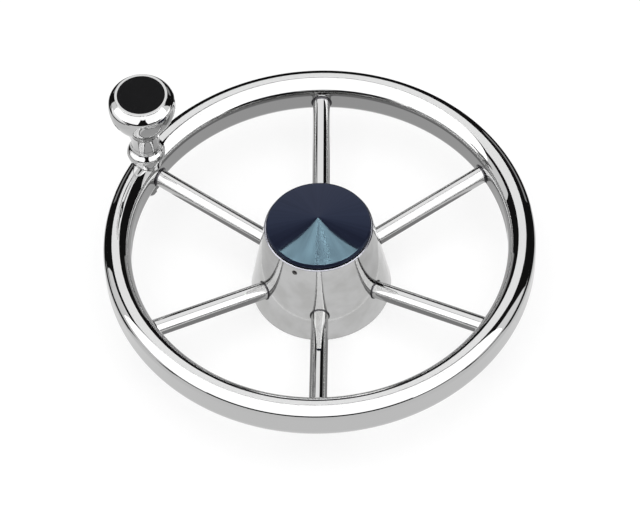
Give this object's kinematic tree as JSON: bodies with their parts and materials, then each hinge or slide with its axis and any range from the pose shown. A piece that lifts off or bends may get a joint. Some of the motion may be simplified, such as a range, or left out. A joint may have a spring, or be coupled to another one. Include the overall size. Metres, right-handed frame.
{
  "type": "boat steering wheel",
  "caption": "Stainless boat steering wheel: a ring of tube on straight spokes, a conical hub for a tapered helm shaft under a blue cap, and a spinner knob that turns on the rim.",
  "frame": {"origin": "centre of the hub's base, where the hub faces the helm", "axes": "+Z along the helm shaft towards the helmsman; +X midway between two spokes, with a spoke along +Y and another along -Y; the knob stands on the rim 150 degrees from +X towards +Y"},
  "size_m": [0.394, 0.394, 0.1656],
  "materials": {
    "polished_stainless": "mirror polished",
    "satin_stainless": "satin polished",
    "pressed_stainless": "mill finish, pressed",
    "turned_stainless": "fine turned",
    "weld_metal": "welded and brushed",
    "blue_anodised_aluminium": "gloss, dark blue anodised",
    "turned_aluminium": "turned",
    "acetal": "machined, off white",
    "nitrile_rubber": "moulded",
    "black_rubber": "matt moulded"
  },
  "bodies": {
    "wheel": {"rim": "polished_stainless", "spoke_1": "polished_stainless", "spoke_2": "polished_stainless", "spoke_3": "polished_stainless", "spoke_4": "polished_stainless", "spoke_5": "polished_stainless", "spoke_6": "polished_stainless", "rim_weld_beads": "weld_metal", "hub_weld_beads": "weld_metal", "hub_shell": "satin_stainless", "hub_web": "pressed_stainless", "hub_core": "turned_stainless", "core_weld_bead": "weld_metal", "web_weld_bead": "weld_metal", "cap_seat_ring": "turned_stainless", "centre_cap": "blue_anodised_aluminium", "cap_o_ring": "nitrile_rubber", "cap_grub_screw": "turned_stainless", "knob_base": "polished_stainless", "knob_stud": "turned_stainless", "saddle_washer": "polished_stainless", "dome_nut": "polished_stainless", "stop_washer": "turned_stainless", "lock_nut": "turned_stainless"},
    "knob": {"knob_shell": "polished_stainless", "knob_core": "turned_aluminium", "lower_bush": "acetal", "upper_bush": "acetal", "knob_insert": "black_rubber"}
  },
  "joints": [
    {"name": "knob_spin", "type": "hinge", "parent": "wheel", "child": "knob", "pos_m": [-0.15978, 0.09225, 0.09605], "axis": [0, 0, 1], "continuous": true}
  ]
}
